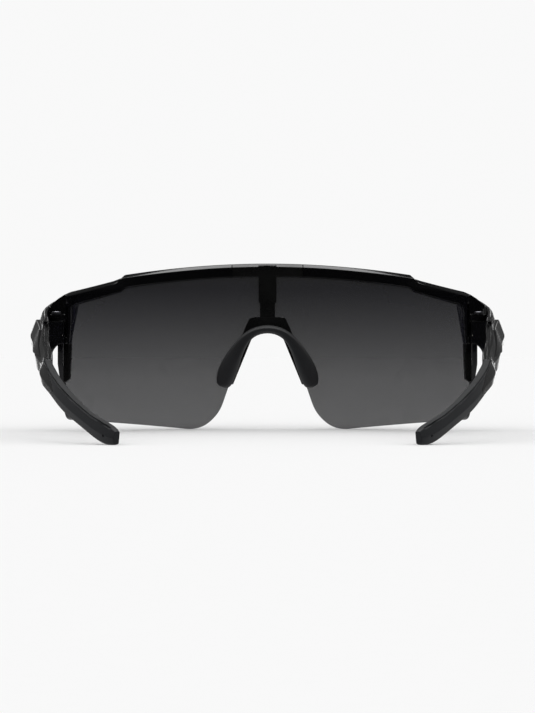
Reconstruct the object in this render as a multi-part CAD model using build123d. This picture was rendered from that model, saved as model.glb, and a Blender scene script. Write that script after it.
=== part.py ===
from build123d import *
import os
from math import cos, hypot, radians, sin

# Wraparound sport sunglasses with a one-piece cylindrical shield lens.
# Millimetres, Z up. The wearer faces -Y, so the wearer's left is +X. The open glasses
# stand on the lens's lower edge and on the two temple tips, all at Z = 0.

# Lens: a vertical cylinder wall
LENS_R = 71.0            # outer face
LENS_T = 2.0
LENS_AXIS_Y = -8.6       # the cylinder's axis, behind the lens
LENS_END_ANGLE = 65.7    # half wrap, in plan
LENS_LEAN = 16.0         # the side edges lean inwards below LENS_LEAN_Z
LENS_LEAN_Z = 21.0
LENS_CORNER_R = 3.0
LENS_IN_BROW = 1.6       # the lens's top edge below the brow's top
NOTCH_LOW = (12.4, 14.1)
NOTCH_HIGH = (6.3, 29.4)
NOTCH_TOP = 33.6

# Brow frame
REAR_LIP = 1.9           # wall behind the lens
FRONT_LIP = 2.2          # wall in front of the lens
BROW_TOP = 53.3          # at the middle
BROW_LOW = 49.1
BROW_STEP_X = 45.2       # the raised middle section ends here
STEP_TOP = 49.1
STEP_LOW = 45.0
BROW_CHAMFER = 1.1
CROSSBAR_HALF = 11.4     # the bridge insert's part of the brow
BLOCK_X = 60.6           # inner side of the end block, behind the lens
BLOCK_LOW = 27.2
END_WALL = 1.3           # end block beyond the lens's side edge
RIB_GROOVE_X = (61.7, 63.0, 64.3)    # upright grooves in the end block's rear face
RIB_GROOVE = (0.5, 0.35)             # width and depth
RIB_GROOVE_Z = (29.2, 39.6)

# Nose piece
STEM_HALF = 2.85
STEM_LOWER_HALF = 2.4
STEM_STEP_Z = 40.6
STEM_END_Z = 33.4
STEM_T = 1.9
CARRIER_T = 2.8
CARRIER_TOP = 36.0
RIM_T = 0.5              # the carrier's rim stands this far in front of the lens
FIT = 0.05
PAD_SECTIONS = [         # (x, y, z), length, thickness, turn of the long side from +Y
    ((0.0, -72.6, 32.5), 4.2, 2.7, 0),
    ((5.3, -72.2, 31.1), 4.2, 2.9, 20),
    ((8.4, -71.4, 27.6), 5.0, 3.0, 38),
    ((10.8, -70.4, 23.2), 6.6, 3.2, 47),
    ((12.8, -69.6, 18.8), 7.6, 3.3, 50),
    ((13.9, -69.2, 15.4), 6.8, 3.0, 50),
    ((14.2, -69.0, 13.2), 3.8, 1.8, 50),
]

# Side rails, behind the lens's side edges
RAIL_LOW = 15.4
RAIL_TOP = 33.0          # its tongue ends here, inside the end block
RAIL_T = 2.0
RAIL_X = (60.4, 60.8)    # inner edge, at the top and at the bottom
RAIL_CHAMFER = (1.2, 0.9)            # width and height, at its lower inner corner
RAIL_TONGUE_T = 1.0

# Hinge
HINGE_X, HINGE_Y = 64.5, -31.6
KNUCKLE_R = 2.3
KNUCKLE_GAP = 0.25
SCREW_R = 0.75
BORE_R = 0.80            # in the arm's knuckle, which turns on the screw
HEAD_R = 1.45
HEAD_H = 0.9
SLOT = (0.45, 0.4)       # width and depth in the screw's head
NUT_R = 1.55
NUT_H = 1.3
WASHER_R = 1.9
LOWER_LUG = (27.2, 29.6)
WASHER_Z = (29.6, 29.9)
KNUCKLE_Z = (29.95, 33.9)
UPPER_LUG = (34.0, 36.2)
NECK_LENGTH = 6.0
PARTING_POINT = (64.7, -35.0)   # on the plane between end piece and arm, in plan
PARTING_ANGLE = 67.7            # that plane faces this way from +X
PARTING_GAP = 0.25

# Temple: centre (x, y, z), width, height and crown, which is the top's share of the width.
# The surface starts on the end piece and runs on through the arm and the sleeve.
STATIONS = [
    ((60.4, -48.6, 40.2), 2.4, 5.0, 0.60),
    ((66.0, -42.4, 34.5), 3.8, 11.6, 0.45),
    ((68.9, -35.5, 31.0), 4.6, 13.4, 0.40),
    ((68.6, -27.0, 29.0), 4.6, 13.4, 0.40),
    ((67.4, -14.0, 26.3), 4.4, 11.9, 0.45),
    ((65.6, 2.0, 22.9), 4.0, 9.2, 0.55),
    ((63.4, 20.0, 19.1), 3.8, 6.5, 0.65),
    ((60.6, 34.0, 16.1), 3.6, 5.8, 0.70),
    ((56.8, 48.0, 12.6), 3.4, 5.4, 0.70),
    ((52.3, 60.0, 9.0), 3.2, 5.2, 0.70),
    ((47.2, 70.2, 5.5), 3.1, 4.9, 0.70),
    ((41.2, 79.0, 2.35), 3.0, 4.8, 0.70),
    ((39.7, 81.0, 1.9), 1.9, 3.4, 0.70),
]
CORNER_SHARE = 0.22      # corner radius over section width
SLEEVE_Y = 19.5          # where the rubber sleeve starts
STRIP_END_Y = 45.0       # the arm's outer strip beside the sleeve ends here
STRIP_T = 1.0
OUTER_AT_SLEEVE = 65.3
OUTER_AT_STRIP_END = 59.3
TONGUE = (2.0, 3.2)      # section of the arm's end inside the sleeve
TONGUE_Y = (15.5, 38.0)
CORE_R = 0.6
CORE_Y = (-18.0, 74.0)
FLUTE = [(3, 0.15, 0.1), (4, 0.7, 0.55), (5, 0.65, 0.5), (6, 0.15, 0.1)]  # station, half width, depth
WEB_Y = (-29.0, -15.0)   # web between the arm and its knuckle, which thins out rearwards
WEB_X = (62.4, 67.2)
WEB_ARCH = [(65.6, 22.6), (64.9, 25.6), (63.2, 27.1)]   # its hollow lower edge
TRIM_TIP = (7.0, 23.2)
TRIM_OUTLINE = [(-34.0, 35.0), (-14.0, 31.3), TRIM_TIP, (-12.0, 25.0), (-34.0, 26.8)]
TRIM_CORNER_R = 2.0
TRIM_SWING = 1.7         # degrees about its tip, so it stands proudest at the front
TRIM_DEPTH = 0.8         # let into the arm

LOW_CORNER = (Align.MIN, Align.MIN, Align.MIN)


def xz_face(right_edges, middle_edges):
    """A face in the XZ plane from its right half's edges and those that cross the middle."""
    left_edges = [mirror(edge, about=Plane.YZ) for edge in right_edges]
    return Plane.XZ * make_face(Curve() + right_edges + left_edges + middle_edges)


def wall(outline, r_in, r_out):
    """The part of a cylinder wall, concentric with the lens, that lies behind an XZ outline."""
    height, clear_of_axis, reach = 140, -14, 75
    tube = Cylinder(r_out, height) - Cylinder(r_in, height)
    return Pos(0, LENS_AXIS_Y, 0) * tube & extrude(Pos(0, clear_of_axis, 0) * outline, reach)


def beyond(point, normal):
    """A large block on the side of a plane that its normal points to."""
    size = 260
    return Plane(origin=point, z_dir=normal) * Pos(0, 0, size / 2) * Box(size, size, size)


def both_sides(shape):
    return shape + mirror(shape, about=Plane.YZ)


def brow_arc(drop):
    """The brow's top line over its raised middle section, lowered by drop."""
    ends = STEP_TOP - drop
    return ThreePointArc((-BROW_STEP_X, ends), (0, BROW_TOP - drop), (BROW_STEP_X, ends))


def brow_line(drop):
    """Points of the brow's top line outside its raised section, lowered by drop."""
    points = [(BROW_STEP_X, STEP_TOP), (46.5, 47.7), (60.7, 43.3), (64.2, 41.2), (70.0, 36.6)]
    return [(x, z - drop) for x, z in points]


def lens_end(offset, lean, z):
    """What lies past the lens's side edge, moved outwards by offset and leaning about z."""
    a = radians(LENS_END_ANGLE)
    radial = Vector(sin(a), -cos(a), 0)
    normal = Vector(cos(a), sin(a), 0).rotate(Axis((0, 0, 0), radial), -lean)
    on_edge = radial * LENS_R + Vector(0, LENS_AXIS_Y, z)
    return beyond(on_edge + normal * offset, normal)


def make_lens():
    """Shield lens: cylinder wall, bare lower edge, nose notch, leaning side edges."""
    side = Polyline(*brow_line(LENS_IN_BROW), (70.0, 3.6), (60.5, 3.6))
    low = ThreePointArc((60.5, 3.6), (43.5, 1.9), (25.5, 0.0))
    corner = Spline((25.5, 0.0), (20.3, 1.1), (16.6, 4.3), NOTCH_LOW, tangents=[(-1, 0), (-0.36, 1)])
    slope = Line(NOTCH_LOW, NOTCH_HIGH)
    arch = ThreePointArc(NOTCH_HIGH, (0, NOTCH_TOP), (-NOTCH_HIGH[0], NOTCH_HIGH[1]))
    outline = xz_face([side, low, corner, slope], [brow_arc(LENS_IN_BROW), arch])
    past_end = lens_end(0, 0, 0) + lens_end(0, LENS_LEAN, LENS_LEAN_Z)
    lens = wall(outline, LENS_R - LENS_T, LENS_R) - both_sides(past_end)
    corners = [e for e in lens.edges() if abs(e.center().X) > 61 and 3 < e.center().Z < 4.4]
    return fillet([e for e in corners if e.length < 1.5 * LENS_T], LENS_CORNER_R)


def temple_plane(spine, point):
    """Section plane at a point of a temple's centre line: local x is level, pointing out."""
    tangent = spine.tangent_at(spine.param_at_point(point))
    outward = Vector(tangent.Y, -tangent.X, 0)
    return Plane(origin=point, x_dir=outward, z_dir=tangent)


def temple_section(width, height, crown):
    """Flat inner side, narrow top, outer side that swells to its widest at mid height."""
    w, h = width / 2, height / 2
    points = [(-w, -h), (-w + width * crown, -h), (w, 0), (0.6 * w, h), (-w, h)]
    face = make_face(Polyline(*points, close=True))
    return fillet(face.vertices(), CORNER_SHARE * width)


def make_envelope(spine):
    """The outer surface of one whole side, from the end piece to the temple's tip."""
    sections = [temple_plane(spine, point) * temple_section(*size) for point, *size in STATIONS]
    return loft(sections)


def at_y(spine, y):
    """The point where the centre line crosses a value of y, by halving."""
    low, high = 0.0, 1.0
    for _ in range(40):
        middle = (low + high) / 2
        if (spine @ middle).Y < y:
            low = middle
        else:
            high = middle
    return spine @ low


def along(spine, y_range, section, count):
    """A bar of constant section that follows the centre line between two values of y."""
    start, end = y_range
    steps = [start + (end - start) * i / (count - 1) for i in range(count)]
    return loft([temple_plane(spine, at_y(spine, y)) * section for y in steps])


def behind(spine, y):
    """What lies past the cross-section of the temple at a value of y."""
    plane = temple_plane(spine, at_y(spine, y))
    return beyond(plane.origin, plane.z_dir)


def parting(offset):
    """What lies behind the plane between the end piece and the arm."""
    a = radians(PARTING_ANGLE)
    normal = Vector(cos(a), sin(a), 0)
    return beyond(Vector(*PARTING_POINT, 0) + normal * offset, normal)


def at_hinge(radius, z_range):
    """A cylinder on the hinge's axis."""
    low, high = z_range
    return Pos(HINGE_X, HINGE_Y, low) * extrude(Circle(radius), high - low)


def lug(z_range):
    """One knuckle of the end piece, with its neck towards the lens."""
    low, high = z_range
    width = 2 * KNUCKLE_R - 0.4
    neck = Box(width, NECK_LENGTH, high - low, align=LOW_CORNER)
    corner = Pos(HINGE_X - KNUCKLE_R, HINGE_Y - NECK_LENGTH, low)
    return at_hinge(KNUCKLE_R, z_range) + corner * neck


def make_screw():
    """Slotted hinge screw. Its head stands on the upper lug."""
    top = UPPER_LUG[1] + HEAD_H
    head = at_hinge(HEAD_R, (UPPER_LUG[1], top))
    head = chamfer(head.edges().group_by(Axis.Z)[-1], 0.25)
    slot = Pos(HINGE_X, HINGE_Y, top) * Box(4 * HEAD_R, SLOT[0], 2 * SLOT[1])
    return at_hinge(SCREW_R, (LOWER_LUG[0], UPPER_LUG[1])) + head - slot


def make_nut(screw):
    """Hexagonal nut, sunk in the lower lug's underside."""
    hexagon = Pos(HINGE_X, HINGE_Y, LOWER_LUG[0]) * RegularPolygon(NUT_R, 6)
    return extrude(hexagon, NUT_H) - screw


def make_washer():
    """Thin washer between the lower lug and the arm's knuckle."""
    return at_hinge(WASHER_R, WASHER_Z) - at_hinge(SCREW_R, WASHER_Z)


def make_trim(envelope):
    """Outer cover, let into the arm's outer face, with a pointed rear end."""
    outline = make_face(Polyline(*TRIM_OUTLINE, close=True))
    blunt = outline.vertices().sort_by(Axis.X)[:-1]
    prism = Pos(60, 0, 0) * extrude(Plane.YZ * fillet(blunt, TRIM_CORNER_R), 30)
    tip = Vector(OUTER_AT_SLEEVE, TRIM_TIP[0], 0)
    proud = Pos(tip) * Rot(0, 0, TRIM_SWING) * Pos(-tip) * envelope
    return (proud & prism) - Pos(-TRIM_DEPTH, 0, 0) * envelope


def make_strip(envelope, spine):
    """The arm's outer strip, which runs on beside the sleeve and tapers away."""
    start = Vector(OUTER_AT_SLEEVE - STRIP_T, SLEEVE_Y, 0)
    run = Vector(OUTER_AT_STRIP_END, STRIP_END_Y, 0) - start
    outside = beyond(start, Vector(run.Y, -run.X, 0))
    strip = envelope & outside & behind(spine, SLEEVE_Y) & beyond((0, STRIP_END_Y, 0), (0, -1, 0))
    return strip.solids().sort_by(SortBy.VOLUME)[-1]


def make_flute(spine):
    """Long hollow in the arm's top face, pointed at both ends."""
    sections = []
    for index, half_width, depth in FLUTE:
        point, width, height, crown = STATIONS[index]
        middle_of_top = Pos((crown - 1) * width / 2, -height / 2)
        sections.append(temple_plane(spine, point) * middle_of_top * Ellipse(half_width, depth))
    return loft(sections)


def make_web():
    """Web behind the knuckle, hollowed below and tapering into the arm's inner face."""
    (front, rear), (inner, outer), top = WEB_Y, WEB_X, KNUCKLE_Z[1]
    arch = ThreePointArc(*WEB_ARCH)
    rest = Polyline(WEB_ARCH[-1], (inner, WEB_ARCH[-1][1]), (inner, top), (outer, top),
                    (outer, WEB_ARCH[0][1]), WEB_ARCH[0])
    web = Pos(0, rear, 0) * extrude(Plane.XZ * make_face([arch, rest]), rear - front)
    run = Vector(outer - inner, rear - front, 0)
    return web - beyond((inner, front, 0), Vector(-run.Y, run.X, 0))


def make_arm(envelope, spine, core, trim):
    """Hard temple arm: hinge knuckle and web, fluted bar, outer strip and tongue."""
    bar = (envelope & parting(PARTING_GAP)) - behind(spine, SLEEVE_Y) - make_flute(spine)
    tongue = along(spine, TONGUE_Y, RectangleRounded(*TONGUE, 0.5), 5)
    arm = bar + make_strip(envelope, spine) + tongue + make_web()
    low, high = KNUCKLE_Z
    neck = Box(4.0, 2 * KNUCKLE_R, high - low, align=LOW_CORNER)
    knuckle = Pos(HINGE_X, HINGE_Y - KNUCKLE_R, low) * neck + at_hinge(KNUCKLE_R, KNUCKLE_Z)
    swing = at_hinge(KNUCKLE_R + KNUCKLE_GAP, (low - 12, high + 12))
    return arm - swing + knuckle - at_hinge(BORE_R, KNUCKLE_Z) - core - trim


def make_sleeve(envelope, spine, arm, core):
    """Rubber sleeve over the tongue and the core, flat where the tip rests."""
    ground = beyond((0, 0, 0), (0, 0, -1))
    return (envelope & behind(spine, SLEEVE_Y)) - arm - core - ground


def make_brow(lens, envelope):
    """Brow frame in one moulding: rear and front lips, end blocks and hinge lugs."""
    end = [(70.0, BLOCK_LOW), (BLOCK_X + 0.4, BLOCK_LOW), (BLOCK_X - 0.3, 38.7), (BLOCK_X - 1.2, 39.5)]
    right = Polyline(*brow_line(0), *end, (BROW_STEP_X + 1.4, 43.7), (BROW_STEP_X, STEP_LOW))
    low = ThreePointArc((BROW_STEP_X, STEP_LOW), (0, BROW_LOW), (-BROW_STEP_X, STEP_LOW))
    outline = xz_face([right], [brow_arc(0), low])
    bar = wall(outline, LENS_R - LENS_T - REAR_LIP, LENS_R + FRONT_LIP)
    bar = bar - both_sides(lens_end(END_WALL, 0, 0) + make_rib_grooves())
    rear_top = [e for e in bar.edges() if is_rear_top(e)]
    bar = chamfer(rear_top, BROW_CHAMFER)
    inboard = beyond((BLOCK_X, 0, 0), (-1, 0, 0))
    end_piece = envelope - parting(0) - inboard + lug(LOWER_LUG) + lug(UPPER_LUG)
    return bar + both_sides(end_piece) - lens


def make_rib_grooves():
    """Upright grooves that leave ribs on the end block's rear face."""
    width, depth = RIB_GROOVE
    low, high = RIB_GROOVE_Z
    rear = LENS_R - LENS_T - REAR_LIP
    middle = (low + high) / 2
    outlines = [Plane.XZ * Pos(x, middle) * Rectangle(width, high - low) for x in RIB_GROOVE_X]
    return Part() + [wall(outline, rear - 1, rear + depth) for outline in outlines]


def is_rear_top(edge):
    """True for the upper rear edges of the brow's bar, out to the end blocks."""
    middle = edge.center()
    radius = hypot(middle.X, middle.Y - LENS_AXIS_Y)
    top = middle.Z > BROW_LOW + 1 if abs(middle.X) < 1 else middle.Z > STEP_LOW
    return top and edge.length > 8 and radius < LENS_R - LENS_T


def make_insert():
    """Bridge insert: a piece of the brow's rear wall with the stem for the nose piece."""
    crossbar = Rectangle(2 * CROSSBAR_HALF, 20, align=(Align.CENTER, Align.MIN))
    upper = Rectangle(2 * STEM_HALF, 12, align=(Align.CENTER, Align.MIN))
    lower = Rectangle(2 * STEM_LOWER_HALF, 12, align=(Align.CENTER, Align.MIN))
    stem = Pos(0, STEM_STEP_Z) * upper + Pos(0, STEM_END_Z) * lower
    rear = LENS_R - LENS_T
    return (
        wall(Plane.XZ * Pos(0, BROW_LOW - 1) * crossbar, rear - REAR_LIP - 1, rear),
        wall(Plane.XZ * stem, rear - STEM_T, rear),
    )


def make_carrier(insert, lens):
    """Nose carrier: a plate behind the lens with two legs, and a rim through the notch."""
    inner = [(11.1, 14.3), (4.9, 29.5), (3.3, 30.9)]
    outer = [(5.2, CARRIER_TOP), (5.9, 35.4), (7.4, 32.1), (13.2, 17.5), (12.7, 14.3)]
    right = Polyline(*outer, *inner)
    top = Line((-5.2, CARRIER_TOP), (5.2, CARRIER_TOP))
    arch = ThreePointArc((-3.3, 30.9), (0, 31.5), (3.3, 30.9))
    rear = LENS_R - LENS_T
    plate = wall(xz_face([right], [top, arch]), rear - CARRIER_T, rear)
    rim_side = Polyline((NOTCH_LOW[0] - FIT, 14.3), (NOTCH_HIGH[0] - FIT, NOTCH_HIGH[1]))
    rim_low = Line((NOTCH_LOW[0] - FIT, 14.3), inner[0])
    rim_arch = ThreePointArc(rim_side @ 1, (0, NOTCH_TOP - FIT), (FIT - NOTCH_HIGH[0], NOTCH_HIGH[1]))
    rim_outline = xz_face([Polyline(*inner), rim_low, rim_side], [arch, rim_arch])
    rim = wall(rim_outline, rear - 1, LENS_R + RIM_T)
    return plate + rim - insert - lens


def make_pad(carrier):
    """Soft saddle pad: an arch over the nose that swells into two lobes."""
    sections = []
    right = [(Vector(*point), size) for point, *size in PAD_SECTIONS]
    left = [(Vector(-p.X, p.Y, p.Z), (length, t, -turn)) for p, (length, t, turn) in right[:0:-1]]
    points = left + right
    line = Spline(*[p for p, _ in points])
    for point, (length, thickness, turn) in points:
        tangent = line.tangent_at(line.param_at_point(point))
        a = radians(turn)
        plane = Plane(origin=point, x_dir=(sin(a), cos(a), 0), z_dir=tangent)
        sections.append(plane * Ellipse(length / 2, thickness / 2))
    return loft(sections) - carrier


def make_rail():
    """Side rail: an upright strip behind the lens's side edge, with a tongue in the end block."""
    rear = LENS_R - LENS_T
    (top_x, low_x), (across, up), past = RAIL_X, RAIL_CHAMFER, 70.0
    low_end = [(past, RAIL_LOW), (low_x + across, RAIL_LOW), (low_x, RAIL_LOW + up)]
    strip = Polyline((past, BLOCK_LOW), *low_end, (top_x, BLOCK_LOW), close=True)
    rail = wall(Plane.XZ * make_face(strip), rear - RAIL_T, rear)
    tongue = Polyline((past, RAIL_TOP), (past, BLOCK_LOW), (62.0, BLOCK_LOW), (62.0, RAIL_TOP), close=True)
    rail = rail + wall(Plane.XZ * make_face(tongue), rear - RAIL_TONGUE_T, rear)
    rail = rail - lens_end(0, 0, 0)
    return rail.solids().sort_by(SortBy.VOLUME)[-1]


spine = Spline(*[station[0] for station in STATIONS])
envelope = make_envelope(spine)
lens = make_lens()
core = along(spine, CORE_Y, Circle(CORE_R), 9)
trim = make_trim(envelope)
arm = make_arm(envelope, spine, core, trim)
sleeve = make_sleeve(envelope, spine, arm, core)
rail = make_rail()
screw = make_screw()
nut = make_nut(screw)
washer = make_washer()
crossbar_room, stem = make_insert()
whole_brow = make_brow(lens, envelope)
insert = (whole_brow & crossbar_room) + stem
brow = whole_brow - insert - both_sides(rail + nut + screw)
carrier = make_carrier(insert, lens)
pad = make_pad(carrier)

middle_parts = {
    "shield_lens": lens,
    "brow_frame": brow,
    "bridge_insert": insert,
    "nose_carrier": carrier,
    "nose_pad": pad,
}
side_parts = {
    "side_rail": rail,
    "hinge_screw": screw,
    "hinge_nut": nut,
    "hinge_washer": washer,
    "temple_arm": arm,
    "temple_trim": trim,
    "temple_core": core,
    "temple_sleeve": sleeve,
}

os.makedirs("parts", exist_ok=True)
for name, shape in middle_parts.items():
    export_step(shape, f"parts/{name}.step")
for name, shape in side_parts.items():
    export_step(shape, f"parts/{name}_left.step")
    export_step(mirror(shape, about=Plane.YZ), f"parts/{name}_right.step")
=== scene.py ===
import math

import bmesh
import bpy
from mathutils import Matrix, Vector
from mathutils.bvhtree import BVHTree


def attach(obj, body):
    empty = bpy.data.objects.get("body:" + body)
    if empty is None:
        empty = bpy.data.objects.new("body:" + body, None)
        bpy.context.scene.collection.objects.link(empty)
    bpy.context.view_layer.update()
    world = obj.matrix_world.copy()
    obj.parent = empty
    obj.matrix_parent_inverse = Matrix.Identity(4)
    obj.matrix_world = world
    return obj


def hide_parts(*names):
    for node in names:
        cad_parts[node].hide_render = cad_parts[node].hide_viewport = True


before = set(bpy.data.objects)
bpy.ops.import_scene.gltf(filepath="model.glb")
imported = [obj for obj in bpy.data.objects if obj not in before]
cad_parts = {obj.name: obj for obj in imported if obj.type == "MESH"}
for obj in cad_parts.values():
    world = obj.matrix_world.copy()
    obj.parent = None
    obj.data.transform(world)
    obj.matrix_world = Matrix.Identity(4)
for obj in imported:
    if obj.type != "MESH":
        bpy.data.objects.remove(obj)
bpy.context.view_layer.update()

# ---- Shield lens -----------------------------------------------------------------------------
# One shield, cut from 2 mm polycarbonate that is dyed smoke grey and bent to a cylinder. Its
# opacity is set by height, and rises from the bottom edge to the top. Both faces are hard coated:
# glass smooth, with the faint haze of handling, and the inner one also has a coating that softens
# what it mirrors. The cut edge is polished over faint saw marks, and almost black, as the light in
# it has run far through the dye.

MM = 0.001
LENS_AXIS_Y = -8.6 * MM
LENS_MIDDLE_R = 70 * MM
LENS_HEIGHT = 50 * MM
OPACITY_BY_HEIGHT = ((0.0, 0.66), (0.33, 0.70), (0.62, 0.79), (0.9, 0.885))    # share of the height, opacity
HAZE = 18 * MM           # size of a smear left by handling
HAZE_ROUGHNESS = (0.025, 0.075)
COATING_ROUGHNESS = 0.22             # added on the inner face
SAW_MARK = 0.5 * MM
LENS_EDGE = 0.2 * MM
FACE_OR_EDGE = 0.5       # the cylinder's faces look along its radius, the cut edge across it
SHARP = math.radians(32)
FLAT = math.radians(0.4)
OVERSHOOT = 0.6          # share of the bevel's width that a corner may move off the surface
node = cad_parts


def linear(code):
    """A colour from its sRGB hex code, in linear light."""
    parts = [int(code[i:i + 2], 16) / 255 for i in (0, 2, 4)]
    return [p / 12.92 if p <= 0.04045 else ((p + 0.055) / 1.055) ** 2.4 for p in parts] + [1]


def add(owner, kind, settings=None, **links):
    """Adds a node to a material or world. Settings set its properties, or its sockets by name or
    number; each link joins another node's output to the socket of that name."""
    tree = owner.node_tree
    made = tree.nodes.new(kind)
    for name, value in (settings or {}).items():
        if isinstance(name, str) and hasattr(made, name):
            setattr(made, name, value)
        else:
            made.inputs[name].default_value = value
    for name, source in links.items():
        tree.links.new(source, made.inputs[name.replace("_", " ")])
    return made


def empty_material(name):
    made = bpy.data.materials.new(name)
    made.use_nodes = True
    made.node_tree.nodes.clear()
    return made


def copy_of(name):
    """A CAD node's shape as one closed skin."""
    bm = bmesh.new()
    bm.from_mesh(node[name].data)
    bmesh.ops.remove_doubles(bm, verts=bm.verts, dist=1e-6)
    return bm


def rounded(bm, edge):
    """Rounds a shape's sharp edges, and brings back to the surface what overshoots it."""
    bmesh.ops.dissolve_limit(bm, angle_limit=FLAT, verts=bm.verts, edges=bm.edges)
    surface = BVHTree.FromBMesh(bm)
    sharp = [e for e in bm.edges if e.is_manifold and e.calc_face_angle() > SHARP]
    bmesh.ops.bevel(bm, geom=sharp, offset=edge, segments=2, profile=0.5, affect="EDGES",
                    material=-1)
    for corner in bm.verts:
        place, normal, index, distance = surface.find_nearest(corner.co)
        if distance > OVERSHOOT * edge:
            corner.co = place
    return bm


def piece(name, bm, material, body, slot, *stands_for):
    """Turns a bmesh into a shown piece: smooth, but for its sharp edges, and riding on its body."""
    mesh = bpy.data.meshes.new(name)
    bm.to_mesh(mesh)
    bm.free()
    mesh.shade_smooth()
    mesh.set_sharp_from_angle(angle=SHARP)
    mesh.materials.append(material)
    made = bpy.data.objects.new(name, mesh)
    bpy.context.scene.collection.objects.link(made)
    even = made.modifiers.new("flat_faces_stay_flat", "WEIGHTED_NORMAL")
    even.keep_sharp = True
    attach(made, body)
    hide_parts(*stands_for)
    return made


polycarbonate = empty_material("smoke_polycarbonate_hard_coated")
place = add(polycarbonate, "ShaderNodeTexCoord")
spot = add(polycarbonate, "ShaderNodeSeparateXYZ", Vector=place.outputs["Object"])
# The lens's opacity by height: a ramp that makes it more opaque from the bottom edge to the top.
opacity_ramp = add(polycarbonate, "ShaderNodeValToRGB")
stops = opacity_ramp.color_ramp.elements
stops.remove(stops[1])
stops[0].color = (OPACITY_BY_HEIGHT[0][1], OPACITY_BY_HEIGHT[0][1], OPACITY_BY_HEIGHT[0][1], 1)
for height_share, opacity in OPACITY_BY_HEIGHT[1:]:
    stops.new(height_share).color = (opacity, opacity, opacity, 1)
height = add(polycarbonate, "ShaderNodeMapRange", {"From Max": LENS_HEIGHT},
             Value=spot.outputs["Z"])
polycarbonate.node_tree.links.new(height.outputs[0], opacity_ramp.inputs["Fac"])
from_axis = add(polycarbonate, "ShaderNodeVectorMath",
                {"operation": "SUBTRACT", 1: (0, LENS_AXIS_Y, 0)}, Vector=place.outputs["Object"])
level = add(polycarbonate, "ShaderNodeVectorMath", {"operation": "MULTIPLY", 1: (1, 1, 0)},
            Vector=from_axis.outputs[0])
radius = add(polycarbonate, "ShaderNodeVectorMath", {"operation": "LENGTH"},
             Vector=level.outputs[0])
inner_face = add(polycarbonate, "ShaderNodeMath", {"operation": "LESS_THAN", 1: LENS_MIDDLE_R},
                 Value=radius.outputs["Value"])
haze = add(polycarbonate, "ShaderNodeTexNoise", {"Scale": 1 / HAZE, "Detail": 4.0},
           Vector=place.outputs["Object"])
smear = add(polycarbonate, "ShaderNodeMapRange",
            {"To Min": HAZE_ROUGHNESS[0], "To Max": HAZE_ROUGHNESS[1]}, Value=haze.outputs["Fac"])
coated = add(polycarbonate, "ShaderNodeMath",
             {"operation": "MULTIPLY_ADD", 1: COATING_ROUGHNESS}, Value=inner_face.outputs[0])
polycarbonate.node_tree.links.new(smear.outputs[0], coated.inputs[2])
skin = add(polycarbonate, "ShaderNodeBsdfPrincipled",
           {"Base Color": linear("0A0A14"), "IOR": 1.58},
           Alpha=opacity_ramp.outputs["Color"], Roughness=coated.outputs[0])
add(polycarbonate, "ShaderNodeOutputMaterial", Surface=skin.outputs[0])

cut_edge = empty_material("smoke_polycarbonate_cut_edge")
place = add(cut_edge, "ShaderNodeTexCoord")
saw = add(cut_edge, "ShaderNodeTexNoise", {"Scale": 1 / SAW_MARK, "Detail": 3.0},
          Vector=place.outputs["Object"])
shine = add(cut_edge, "ShaderNodeMapRange", {"To Min": 0.12, "To Max": 0.25},
            Value=saw.outputs["Fac"])
skin = add(cut_edge, "ShaderNodeBsdfPrincipled", {"Base Color": linear("101013"), "IOR": 1.58},
           Roughness=shine.outputs[0])
add(cut_edge, "ShaderNodeOutputMaterial", Surface=skin.outputs[0])

lens_bm = rounded(copy_of("shield_lens"), LENS_EDGE)
lens_bm.normal_update()
for face in lens_bm.faces:
    middle = face.calc_center_median()
    outward = Vector((middle.x, middle.y - LENS_AXIS_Y, 0)).normalized()
    face.material_index = int(abs(face.normal.dot(outward)) < FACE_OR_EDGE)
lens = piece("lens", lens_bm, polycarbonate, "front", "lens", "shield_lens")
lens.data.materials.append(cut_edge)

# ---- Brow frame ------------------------------------------------------------------------------
# The half frame that grips the lens's top edge in a groove, with an end block and a hinge at
# each side. It is injection moulded from black nylon in a polished mould, so its faces are glossy
# with a faint ripple, and its edges are rounded as a mould leaves them.

FRAME_EDGE = 0.25 * MM
RIPPLE = 6 * MM
RIPPLE_HEIGHT = 0.02 * MM
GRAIN = 0.25 * MM


def moulded_nylon(name, code, rough, grain_height):
    """Black nylon: a slow ripple from the melt's flow, and the fine grain of the mould."""
    made = empty_material(name)
    place = add(made, "ShaderNodeTexCoord")
    flow = add(made, "ShaderNodeTexNoise", {"Scale": 1 / RIPPLE, "Detail": 2.0},
               Vector=place.outputs["Object"])
    grain = add(made, "ShaderNodeTexNoise", {"Scale": 1 / GRAIN, "Detail": 3.0},
                Vector=place.outputs["Object"])
    shine = add(made, "ShaderNodeMapRange", {"To Min": rough * 0.7, "To Max": rough * 1.3},
                Value=flow.outputs["Fac"])
    ripple = add(made, "ShaderNodeBump", {"Strength": 0.5, "Distance": RIPPLE_HEIGHT},
                 Height=flow.outputs["Fac"])
    bump = add(made, "ShaderNodeBump", {"Strength": 0.5, "Distance": grain_height},
               Height=grain.outputs["Fac"], Normal=ripple.outputs[0])
    skin = add(made, "ShaderNodeBsdfPrincipled", {"Base Color": linear(code), "IOR": 1.51},
               Roughness=shine.outputs[0], Normal=bump.outputs[0])
    add(made, "ShaderNodeOutputMaterial", Surface=skin.outputs[0])
    return made


polished_nylon = moulded_nylon("black_nylon_polished_mould", "040405", 0.13, 0.0005 * MM)
piece("brow", rounded(copy_of("brow_frame"), FRAME_EDGE), polished_nylon, "front", "frame",
      "brow_frame")

# ---- Bridge insert and nose carrier ----------------------------------------------------------
# The insert clips into the middle of the brow and its stem holds the nose carrier, a plate with
# two legs whose rim passes through the lens's notch. Both are black nylon from a spark-eroded
# mould, so they are satin, and blacker than the polished brow.

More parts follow.
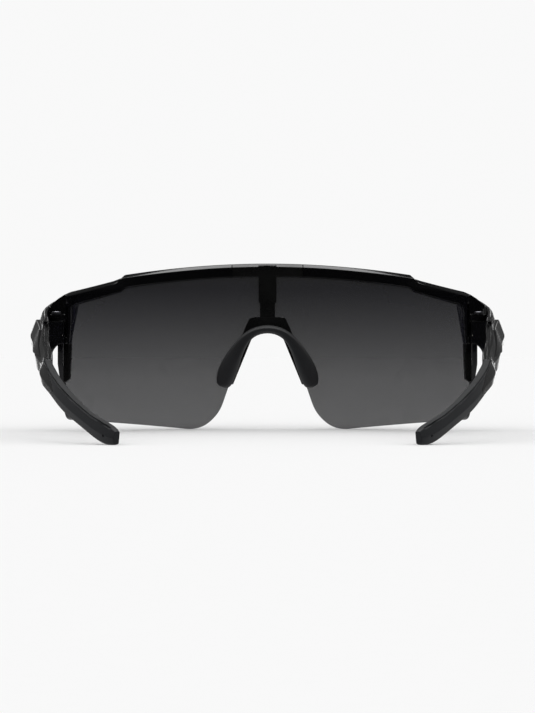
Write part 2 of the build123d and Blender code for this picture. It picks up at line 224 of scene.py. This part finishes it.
INSERT_EDGE = 0.2 * MM
satin_nylon = moulded_nylon("black_nylon_eroded_mould", "030303", 0.28, 0.003 * MM)
piece("bridge", rounded(copy_of("bridge_insert"), INSERT_EDGE), satin_nylon, "front", "insert",
      "bridge_insert")
piece("nose_bracket", rounded(copy_of("nose_carrier"), INSERT_EDGE), satin_nylon, "front",
      "insert", "nose_carrier")

# ---- Nose pad --------------------------------------------------------------------------------
# One soft saddle of dark grey silicone rubber, moulded over the carrier: an arch over the nose
# that swells into two lobes, each with a low ridge down its middle and a blunt lower end. Its
# skin is matt, from a blasted mould, with a trace of dust in it.

PAD_RINGS = [            # (x, y, z), length, thickness, turn of the length from +Y, in mm
    ((0.0, -72.6, 32.5), 4.3, 2.8, 0),
    ((5.3, -72.2, 31.1), 4.3, 3.0, 20),
    ((8.4, -71.4, 27.6), 5.2, 3.2, 38),
    ((10.8, -70.4, 23.2), 6.9, 3.5, 47),
    ((12.8, -69.6, 18.8), 7.9, 3.6, 50),
    ((13.9, -69.2, 15.4), 7.2, 3.4, 50),
    ((14.3, -69.0, 13.3), 4.6, 2.2, 50),
]
PAD_RIDGE = 1.6          # a section's exponent: 2 is an ellipse, and less makes the ridge
PAD_SIDES = 16
CLOUD = 9 * MM           # size of a slow change of tone in rubber


def soft_rubber(name, codes, grain, grain_height, rough):
    """Matt rubber, pitted by a blasted mould, with slow changes between two tones."""
    made = empty_material(name)
    place = add(made, "ShaderNodeTexCoord")
    pits = add(made, "ShaderNodeTexNoise", {"Scale": 1 / grain, "Detail": 5.0, "Roughness": 0.6},
               Vector=place.outputs["Object"])
    cloud = add(made, "ShaderNodeTexNoise", {"Scale": 1 / CLOUD, "Detail": 3.0},
                Vector=place.outputs["Object"])
    tone = add(made, "ShaderNodeMix",
               {"data_type": "RGBA", 6: linear(codes[0]), 7: linear(codes[1])},
               Factor=cloud.outputs["Fac"])
    shine = add(made, "ShaderNodeMapRange", {"To Min": rough * 0.85, "To Max": rough * 1.15},
                Value=pits.outputs["Fac"])
    bump = add(made, "ShaderNodeBump", {"Strength": 0.7, "Distance": grain_height},
               Height=pits.outputs["Fac"])
    skin = add(made, "ShaderNodeBsdfPrincipled", {"IOR": 1.43, "Sheen Weight": 0.04},
               Base_Color=tone.outputs[2], Roughness=shine.outputs[0], Normal=bump.outputs[0])
    add(made, "ShaderNodeOutputMaterial", Surface=skin.outputs[0])
    return made


def bridged(rings):
    """A closed skin through a row of rings, each a list of points, with both ends capped."""
    bm = bmesh.new()
    edges, caps = [], []
    for ring in rings:
        corners = [bm.verts.new(point) for point in ring]
        edges += [bm.edges.new((a, b)) for a, b in zip(corners, corners[1:] + corners[:1])]
        caps.append(corners)
    bmesh.ops.bridge_loops(bm, edges=edges)
    for corners in (caps[0], caps[-1]):
        bmesh.ops.contextual_create(bm, geom=corners)
    bmesh.ops.recalc_face_normals(bm, faces=bm.faces)
    return bm


def pad_ring(centre, ahead, length, thickness, turn):
    """One section of the pad, square to the line that the pad follows."""
    long_way = Vector((math.sin(math.radians(turn)), math.cos(math.radians(turn)), 0))
    thin_way = ahead.cross(long_way).normalized()
    long_way = thin_way.cross(ahead).normalized()
    points = []
    for i in range(PAD_SIDES):
        a = 2 * math.pi * i / PAD_SIDES
        along = math.copysign(abs(math.cos(a)) ** (2 / PAD_RIDGE), math.cos(a)) * length / 2
        across = math.copysign(abs(math.sin(a)) ** (2 / PAD_RIDGE), math.sin(a)) * thickness / 2
        points.append((centre + long_way * along + thin_way * across) * MM)
    return points


right_half = [(Vector(centre), *sizes, turn) for centre, *sizes, turn in PAD_RINGS]
left_half = [(Vector((-centre.x, centre.y, centre.z)), *sizes, -turn)
             for centre, *sizes, turn in right_half[:0:-1]]
pad_line = left_half + right_half
pad_rings = []
for i, (centre, length, thickness, turn) in enumerate(pad_line):
    before, after = pad_line[max(i - 1, 0)][0], pad_line[min(i + 1, len(pad_line) - 1)][0]
    pad_rings.append(pad_ring(centre, (after - before).normalized(), length, thickness, turn))
silicone = soft_rubber("grey_silicone_blasted_mould", ("121316", "191A1E"), 0.3 * MM,
                       0.012 * MM, 0.62)
pad = piece("nose_saddle", bridged(pad_rings), silicone, "front", "nose_rubber", "nose_pad")
pad.modifiers.clear()
smooth = pad.modifiers.new("soft", "SUBSURF")
smooth.levels = smooth.render_levels = 2

# ---- Side rails ------------------------------------------------------------------------------
# A strip of satin nylon behind each side edge of the lens, whose tongue is held in the end block.

for side in ("left", "right"):
    piece(f"rail_{side}", rounded(copy_of(f"side_rail_{side}"), INSERT_EDGE), satin_nylon, "front",
          "rail", f"side_rail_{side}")

# ---- Hinges ----------------------------------------------------------------------------------
# Each hinge turns on a slotted steel screw, turned on a lathe and chemically blackened, with
# paler steel on the crests of its tool marks. A hexagonal nut holds it from below, and a thin
# washer of natural nylon keeps the knuckles apart.

SCREW_EDGE = 0.08 * MM
WASHER_EDGE = 0.05 * MM
TOOL_MARK = 0.12 * MM
TOOL_MARK_HEIGHT = 0.004 * MM
blackened = empty_material("turned_steel_blackened")
place = add(blackened, "ShaderNodeTexCoord")
marks = add(blackened, "ShaderNodeTexNoise", {"Scale": 1 / TOOL_MARK, "Detail": 3.0},
            Vector=place.outputs["Object"])
worn = add(blackened, "ShaderNodeMapRange", {"From Min": 0.45, "From Max": 0.75},
           Value=marks.outputs["Fac"])
tone = add(blackened, "ShaderNodeMix",
           {"data_type": "RGBA", 6: linear("55555A"), 7: linear("8E8E92")},
           Factor=worn.outputs[0])
shine = add(blackened, "ShaderNodeMapRange", {"To Min": 0.24, "To Max": 0.4},
            Value=marks.outputs["Fac"])
bump = add(blackened, "ShaderNodeBump", {"Strength": 0.3, "Distance": TOOL_MARK_HEIGHT},
           Height=marks.outputs["Fac"])
skin = add(blackened, "ShaderNodeBsdfPrincipled", {"Metallic": 1.0},
           Base_Color=tone.outputs[2], Roughness=shine.outputs[0], Normal=bump.outputs[0])
add(blackened, "ShaderNodeOutputMaterial", Surface=skin.outputs[0])

natural_nylon = soft_rubber("natural_nylon", ("C9C6B8", "D6D3C6"), 0.4 * MM, 0.003 * MM, 0.45)

for side in ("left", "right"):
    piece(f"screw_{side}", rounded(copy_of(f"hinge_screw_{side}"), SCREW_EDGE), blackened, "front",
          "screw", f"hinge_screw_{side}")
    piece(f"nut_{side}", rounded(copy_of(f"hinge_nut_{side}"), SCREW_EDGE), blackened, "front",
          "screw", f"hinge_nut_{side}")
    piece(f"washer_{side}", rounded(copy_of(f"hinge_washer_{side}"), WASHER_EDGE), natural_nylon,
          "front", "washer", f"hinge_washer_{side}")

# ---- Temple arms and trims -------------------------------------------------------------------
# Each arm is one hard moulding of the polished black nylon, fluted along its top, with the
# hinge's knuckle in front and an outer strip that runs on beside the sleeve. A separate cover
# of the same nylon, buffed to a higher gloss, is let into its outer face.

ARM_EDGE = 0.22 * MM
buffed_nylon = moulded_nylon("black_nylon_buffed", "050506", 0.07, 0.0003 * MM)
for side in ("left", "right"):
    piece(f"arm_{side}", rounded(copy_of(f"temple_arm_{side}"), ARM_EDGE), polished_nylon,
          f"{side}_temple", "arm", f"temple_arm_{side}")
    piece(f"cover_{side}", rounded(copy_of(f"temple_trim_{side}"), ARM_EDGE), buffed_nylon,
          f"{side}_temple", "trim", f"temple_trim_{side}")

# ---- Core wires ------------------------------------------------------------------------------
# A nickel-plated steel wire runs through each arm and sleeve, so that the temple can be bent to
# the head.

WIRE_EDGE = 0.1 * MM
DRAWN_LINE = 1.2 * MM
ALONG_WIRE = (8.0, 0.5, 2.0)         # the lines are stretched along the wire, which runs in Y
nickel = empty_material("drawn_steel_nickel_plated")
place = add(nickel, "ShaderNodeTexCoord")
stretch = add(nickel, "ShaderNodeMapping", {"Scale": ALONG_WIRE},
              Vector=place.outputs["Object"])
lines = add(nickel, "ShaderNodeTexNoise", {"Scale": 1 / DRAWN_LINE, "Detail": 3.0},
            Vector=stretch.outputs[0])
shine = add(nickel, "ShaderNodeMapRange", {"To Min": 0.18, "To Max": 0.32},
            Value=lines.outputs["Fac"])
skin = add(nickel, "ShaderNodeBsdfPrincipled", {"Metallic": 1.0, "Base Color": linear("B9B6AE")},
           Roughness=shine.outputs[0])
add(nickel, "ShaderNodeOutputMaterial", Surface=skin.outputs[0])
for side in ("left", "right"):
    piece(f"wire_{side}", rounded(copy_of(f"temple_core_{side}"), WIRE_EDGE), nickel,
          f"{side}_temple", "core", f"temple_core_{side}")

# ---- Temple sleeves --------------------------------------------------------------------------
# A sleeve of soft, dark grey thermoplastic rubber grips the head behind the ear. It is moulded
# over the arm's tongue and the wire. A groove parts its narrow top strip from the outer face,
# and a small pit near the tip is left by the pin that held the wire in the mould.

SLEEVE_EDGE = 0.15 * MM
TEMPLE_LINE = [          # centre (x, y, z), width, height and crown of the left temple, in mm
    ((63.4, 20.0, 19.1), 3.8, 6.5, 0.65),
    ((60.6, 34.0, 16.1), 3.6, 5.8, 0.70),
    ((56.8, 48.0, 12.6), 3.4, 5.4, 0.70),
    ((52.3, 60.0, 9.0), 3.2, 5.2, 0.70),
    ((47.2, 70.2, 5.5), 3.1, 4.9, 0.70),
    ((41.2, 79.0, 2.35), 3.0, 4.8, 0.70),
]
GROOVE_R = 0.28          # in mm, like the pit's sizes
GROOVE_SIDES = 10
GROOVE_BELOW_CROWN = 0.25
PIT_R = 0.3
PIT_ALONG = 0.87         # share of the way from the fifth to the sixth centre
PIT_OUT, PIT_DOWN = 1.5, 0.4         # from there to the pit's middle


def temple_axes(index):
    """Outward and upward directions, square to the temple's line, at one of its centres."""
    before = Vector(TEMPLE_LINE[max(index - 1, 0)][0])
    after = Vector(TEMPLE_LINE[min(index + 1, len(TEMPLE_LINE) - 1)][0])
    ahead = (after - before).normalized()
    out = Vector((ahead.y, -ahead.x, 0)).normalized()
    return out, out.cross(ahead)


def groove_cutter():
    """A thin rod that follows the outer edge of the sleeve's crown."""
    rings = []
    for i, (centre, width, height, crown) in enumerate(TEMPLE_LINE):
        out, up = temple_axes(i)
        edge = Vector(centre) + out * (width * (crown - 0.5)) + up * (height / 2)
        down_slope = (out * width * (1 - crown) - up * (height / 2)).normalized()
        middle = edge + down_slope * GROOVE_BELOW_CROWN
        turns = [2 * math.pi * k / GROOVE_SIDES for k in range(GROOVE_SIDES)]
        rings.append([(middle + (out * math.cos(a) + up * math.sin(a)) * GROOVE_R) * MM
                      for a in turns])
    return bridged(rings)


def pit_cutter():
    """A small ball on the outer face, near the tip."""
    out, up = temple_axes(5)
    centre = Vector(TEMPLE_LINE[4][0]).lerp(Vector(TEMPLE_LINE[5][0]), PIT_ALONG)
    place = Matrix.Translation((centre + out * PIT_OUT - up * PIT_DOWN) * MM)
    bm = bmesh.new()
    bmesh.ops.create_icosphere(bm, subdivisions=3, radius=PIT_R * MM, matrix=place)
    return bm


def cut(bm, cutter_bm, mirrored):
    """Takes the cutter's shape out of a bmesh, and returns the bmesh that is left."""
    if mirrored:
        bmesh.ops.scale(cutter_bm, vec=(-1, 1, 1), verts=cutter_bm.verts)
        bmesh.ops.reverse_faces(cutter_bm, faces=cutter_bm.faces)
    halves = []
    for shape in (bm, cutter_bm):
        mesh = bpy.data.meshes.new("work")
        shape.to_mesh(mesh)
        shape.free()
        half = bpy.data.objects.new("work", mesh)
        bpy.context.scene.collection.objects.link(half)
        halves.append(half)
    work, cutter = halves
    difference = work.modifiers.new("cut", "BOOLEAN")
    difference.operation, difference.solver = "DIFFERENCE", "MANIFOLD"
    difference.object = cutter
    graph = bpy.context.evaluated_depsgraph_get()
    left = bmesh.new()
    left.from_mesh(work.evaluated_get(graph).data)
    for half in halves:
        bpy.data.objects.remove(half)
    return left


tpr = soft_rubber("grey_thermoplastic_rubber", ("14161A", "1B1D21"), 0.35 * MM, 0.015 * MM, 0.6)
for side in ("left", "right"):
    grooved = cut(copy_of(f"temple_sleeve_{side}"), groove_cutter(), side == "right")
    pitted = cut(grooved, pit_cutter(), side == "right")
    piece(f"sleeve_{side}", rounded(pitted, SLEEVE_EDGE), tpr, f"{side}_temple", "sleeve_rubber",
          f"temple_sleeve_{side}")

# ---- Studio ----------------------------------------------------------------------------------
# A pale paper floor under an even white dome. The glasses mirror a darker room than the one
# that lights them: a grey wall with two upright strip lamps in front of them, a black one behind
# the camera, the lit floor, and a softbox above.

FLOOR_SIZE = 60
FLOOR_TONE = 0.9
FIBRES = 300.0           # to a metre
FIBRE_TONE = 0.004       # they lighten and darken the paper by this much
ROOM_TONE = 0.945
WALL = (0.1, 0.008)      # mirrored radiance in front of the glasses and behind the camera
WALL_Y = (-0.5, 0.3)     # Y of the directions where these are reached
MIRRORED_FLOOR = 0.7     # mirrored radiance of the floor in front of the glasses
FLOOR_BEHIND = 0.35      # the share of it that is left behind the camera
FLOOR_Y = (-0.4, 0.2)    # Y of the directions where these are reached
FLOOR_Z = (-0.3, -0.08)  # Z where the floor is at its brightest, and where it starts
WHITE = (1, 1, 1, 1)
floor_bm = bmesh.new()
bmesh.ops.create_grid(floor_bm, x_segments=1, y_segments=1, size=FLOOR_SIZE)
floor_mesh = bpy.data.meshes.new("floor")
floor_bm.to_mesh(floor_mesh)
floor_bm.free()
paper = empty_material("matt_white_paper")
place = add(paper, "ShaderNodeTexCoord")
fibre = add(paper, "ShaderNodeTexNoise", {"Scale": FIBRES}, Vector=place.outputs["Object"])
tone = add(paper, "ShaderNodeMapRange",
           {"To Min": FLOOR_TONE - FIBRE_TONE, "To Max": FLOOR_TONE + FIBRE_TONE},
           Value=fibre.outputs["Fac"])
matt = add(paper, "ShaderNodeBsdfDiffuse", Color=tone.outputs[0])
add(paper, "ShaderNodeOutputMaterial", Surface=matt.outputs[0])
floor_mesh.materials.append(paper)
floor = bpy.data.objects.new("floor", floor_mesh)
floor.visible_glossy = False
bpy.context.scene.collection.objects.link(floor)

room = bpy.data.worlds.new("studio")
bpy.context.scene.world = room
room.use_nodes = True
room.node_tree.nodes.clear()
ray = add(room, "ShaderNodeLightPath")
direction = add(room, "ShaderNodeTexCoord")
spot = add(room, "ShaderNodeSeparateXYZ", Vector=direction.outputs["Generated"])
wall = add(room, "ShaderNodeMapRange",
           {"From Min": WALL_Y[1], "From Max": WALL_Y[0], "To Min": WALL[1], "To Max": WALL[0]},
           Value=spot.outputs["Y"])
in_front = add(room, "ShaderNodeMapRange",
               {"From Min": FLOOR_Y[1], "From Max": FLOOR_Y[0], "To Min": FLOOR_BEHIND},
               Value=spot.outputs["Y"])
below = add(room, "ShaderNodeMapRange",
            {"From Min": FLOOR_Z[1], "From Max": FLOOR_Z[0], "To Max": MIRRORED_FLOOR},
            Value=spot.outputs["Z"])
lit_floor = add(room, "ShaderNodeMath", {"operation": "MULTIPLY"}, Value=below.outputs[0])
room.node_tree.links.new(in_front.outputs[0], lit_floor.inputs[1])
both = add(room, "ShaderNodeMath", {"operation": "ADD"}, Value=wall.outputs[0])
room.node_tree.links.new(lit_floor.outputs[0], both.inputs[1])
seen = add(room, "ShaderNodeBackground", {"Color": WHITE, "Strength": ROOM_TONE})
dome = add(room, "ShaderNodeBackground", {"Color": WHITE, "Strength": ROOM_TONE / FLOOR_TONE})
mirrored = add(room, "ShaderNodeBackground", {"Color": WHITE}, Strength=both.outputs[0])
lit = add(room, "ShaderNodeMixShader", Fac=ray.outputs["Is Glossy Ray"])
room.node_tree.links.new(dome.outputs[0], lit.inputs[1])
room.node_tree.links.new(mirrored.outputs[0], lit.inputs[2])
shown = add(room, "ShaderNodeMixShader", Fac=ray.outputs["Is Camera Ray"])
room.node_tree.links.new(lit.outputs[0], shown.inputs[1])
room.node_tree.links.new(seen.outputs[0], shown.inputs[2])
add(room, "ShaderNodeOutputWorld", Surface=shown.outputs[0])


def softbox(name, where, size, radiance):
    """A soft rectangular lamp that faces the glasses and shows only in what they mirror."""
    lamp = bpy.data.lights.new(name, "AREA")
    lamp.shape, lamp.size, lamp.size_y = "RECTANGLE", size[0], size[1]
    lamp.energy = radiance * math.pi * size[0] * size[1]
    made = bpy.data.objects.new(name, lamp)
    made.location = where
    made.rotation_euler = (-Vector(where)).to_track_quat("-Z", "Y").to_euler()
    made.visible_diffuse = False
    made.visible_camera = False
    bpy.context.scene.collection.objects.link(made)


softbox("softbox_top", (0, 0, 0.8), (0.9, 0.5), 5)
for side in (-1, 1):
    softbox("strip_lamp", (side * 0.5, -2.2, 0.35), (0.18, 1.6), 1.3)

CAMERA_Y = 771 * MM
CAMERA_Z = 23.3 * MM
FOCAL_LENGTH = 132.6
view = bpy.data.cameras.new("camera")
view.lens = FOCAL_LENGTH
view.clip_start = 10 * MM
camera = bpy.data.objects.new("camera", view)
camera.location = (0, CAMERA_Y, CAMERA_Z)
camera.rotation_euler = (math.pi / 2, 0, math.pi)
bpy.context.scene.collection.objects.link(camera)
bpy.context.scene.camera = camera
bpy.context.scene.view_settings.view_transform = "Standard"
